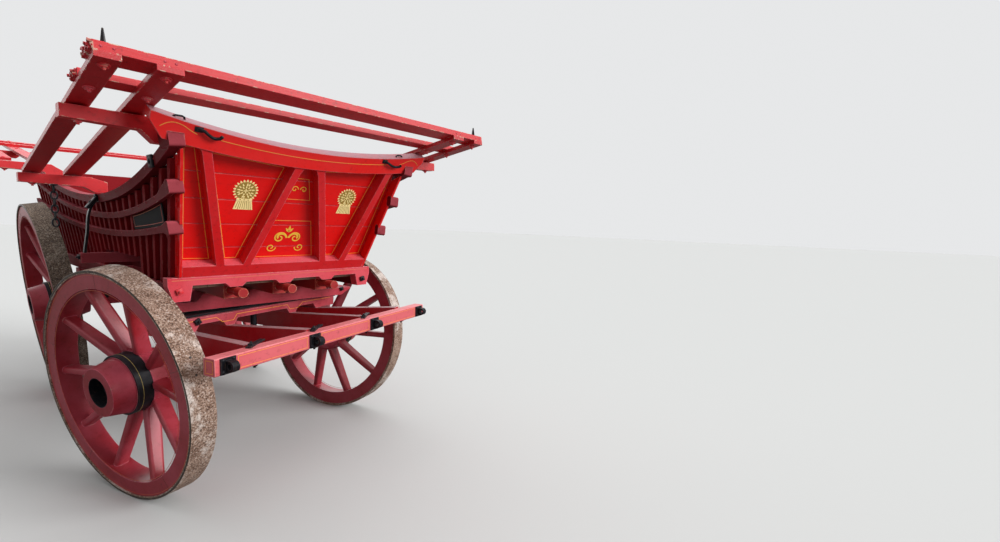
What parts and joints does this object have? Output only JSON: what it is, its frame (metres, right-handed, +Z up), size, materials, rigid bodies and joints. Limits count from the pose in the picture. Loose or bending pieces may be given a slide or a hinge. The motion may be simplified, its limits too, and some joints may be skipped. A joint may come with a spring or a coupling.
{
  "type": "farm wagon",
  "caption": "Horse-drawn harvest wagon with a flared, boarded body, front and rear harvest frames, spoked iron-tyred wheels, a turning fore-carriage and a drop tailboard.",
  "frame": {"origin": "on the floor, under the centre of the whole wagon's bounding box", "axes": "+Z up, -Y towards the front end with the splinter bar, +X towards the side that is on the right when the wagon is seen from the front"},
  "size_m": [1.9854, 4.6878, 2.1496],
  "materials": {
    "red_paint": "weathered red paint over timber, striped in yellow",
    "nave_paint": "weathered red paint over turned elm",
    "tyre_iron": "worn and rusted hoop iron",
    "black_iron": "black painted forgings",
    "bare_boards": "bare, worn floor boards"
  },
  "bodies": {
    "wagon_body": {"bed_poles": "red_paint", "corner_boards": "red_paint", "floor_boards": "bare_boards", "fore_bolster": "red_paint", "front_boards": "red_paint", "front_frame": "red_paint", "front_harvest_arms": "red_paint", "front_harvest_bars": "red_paint", "front_harvest_raves": "red_paint", "front_sill": "red_paint", "head_rail": "red_paint", "hind_axle_arms": "black_iron", "hind_axle_bed": "red_paint", "hind_bolster": "red_paint", "hind_harvest_arms": "red_paint", "hind_harvest_bars": "red_paint", "hind_harvest_raves": "red_paint", "kingpin": "black_iron", "lower_mid_rails": "red_paint", "perch": "red_paint", "side_boards": "red_paint", "side_plate": "black_iron", "side_stays": "black_iron", "soles": "red_paint", "spindles": "red_paint", "stay_ledges": "red_paint", "tail_hinge_pins": "black_iron", "tail_sill": "red_paint", "top_rails": "red_paint", "upper_mid_rails": "red_paint", "upper_rubbing_plate": "black_iron", "waist_panels": "red_paint"},
    "fore_carriage": {"fore_axle_bed": "red_paint", "fore_pillow": "red_paint", "lower_rubbing_plate": "black_iron", "hounds": "red_paint", "sway_bar": "red_paint", "splinter_bar": "red_paint", "shaft_eyes": "black_iron", "fore_axle_arms": "black_iron"},
    "front_left_wheel_set": {"front_left_nave": "nave_paint", "front_left_tyre": "tyre_iron", "front_left_wheel": "red_paint"},
    "front_right_wheel_set": {"front_right_nave": "nave_paint", "front_right_tyre": "tyre_iron", "front_right_wheel": "red_paint"},
    "hind_left_wheel_set": {"hind_left_nave": "nave_paint", "hind_left_tyre": "tyre_iron", "hind_left_wheel": "red_paint"},
    "hind_right_wheel_set": {"hind_right_nave": "nave_paint", "hind_right_tyre": "tyre_iron", "hind_right_wheel": "red_paint"},
    "tail_gate": {"tailboard": "red_paint", "tail_hinges": "black_iron"}
  },
  "joints": [
    {"name": "steering", "type": "hinge", "parent": "wagon_body", "child": "fore_carriage", "pos_m": [-0.00771, -1.21936, 0.907], "axis": [0, 0, 1], "range_deg": [-43.4, 12.6]},
    {"name": "front_left_spin", "type": "hinge", "parent": "fore_carriage", "child": "front_left_wheel_set", "pos_m": [-0.74235, -1.42171, 0.60735], "axis": [-0.9599, -0.2644, -0.0931], "continuous": true},
    {"name": "hind_left_spin", "type": "hinge", "parent": "wagon_body", "child": "hind_left_wheel_set", "pos_m": [-0.73771, 0.64964, 0.76815], "axis": [-0.9957, 0, -0.0931], "continuous": true},
    {"name": "front_right_spin", "type": "hinge", "parent": "fore_carriage", "child": "front_right_wheel_set", "pos_m": [0.72693, -1.017, 0.60735], "axis": [0.9599, 0.2644, -0.0931], "continuous": true},
    {"name": "hind_right_spin", "type": "hinge", "parent": "wagon_body", "child": "hind_right_wheel_set", "pos_m": [0.72229, 0.64964, 0.76815], "axis": [0.9957, 0, -0.0931], "continuous": true},
    {"name": "tail_drop", "type": "hinge", "parent": "wagon_body", "child": "tail_gate", "pos_m": [-0.00771, 1.71464, 1.17], "axis": [-1, 0, 0], "range_deg": [0, 150]}
  ]
}
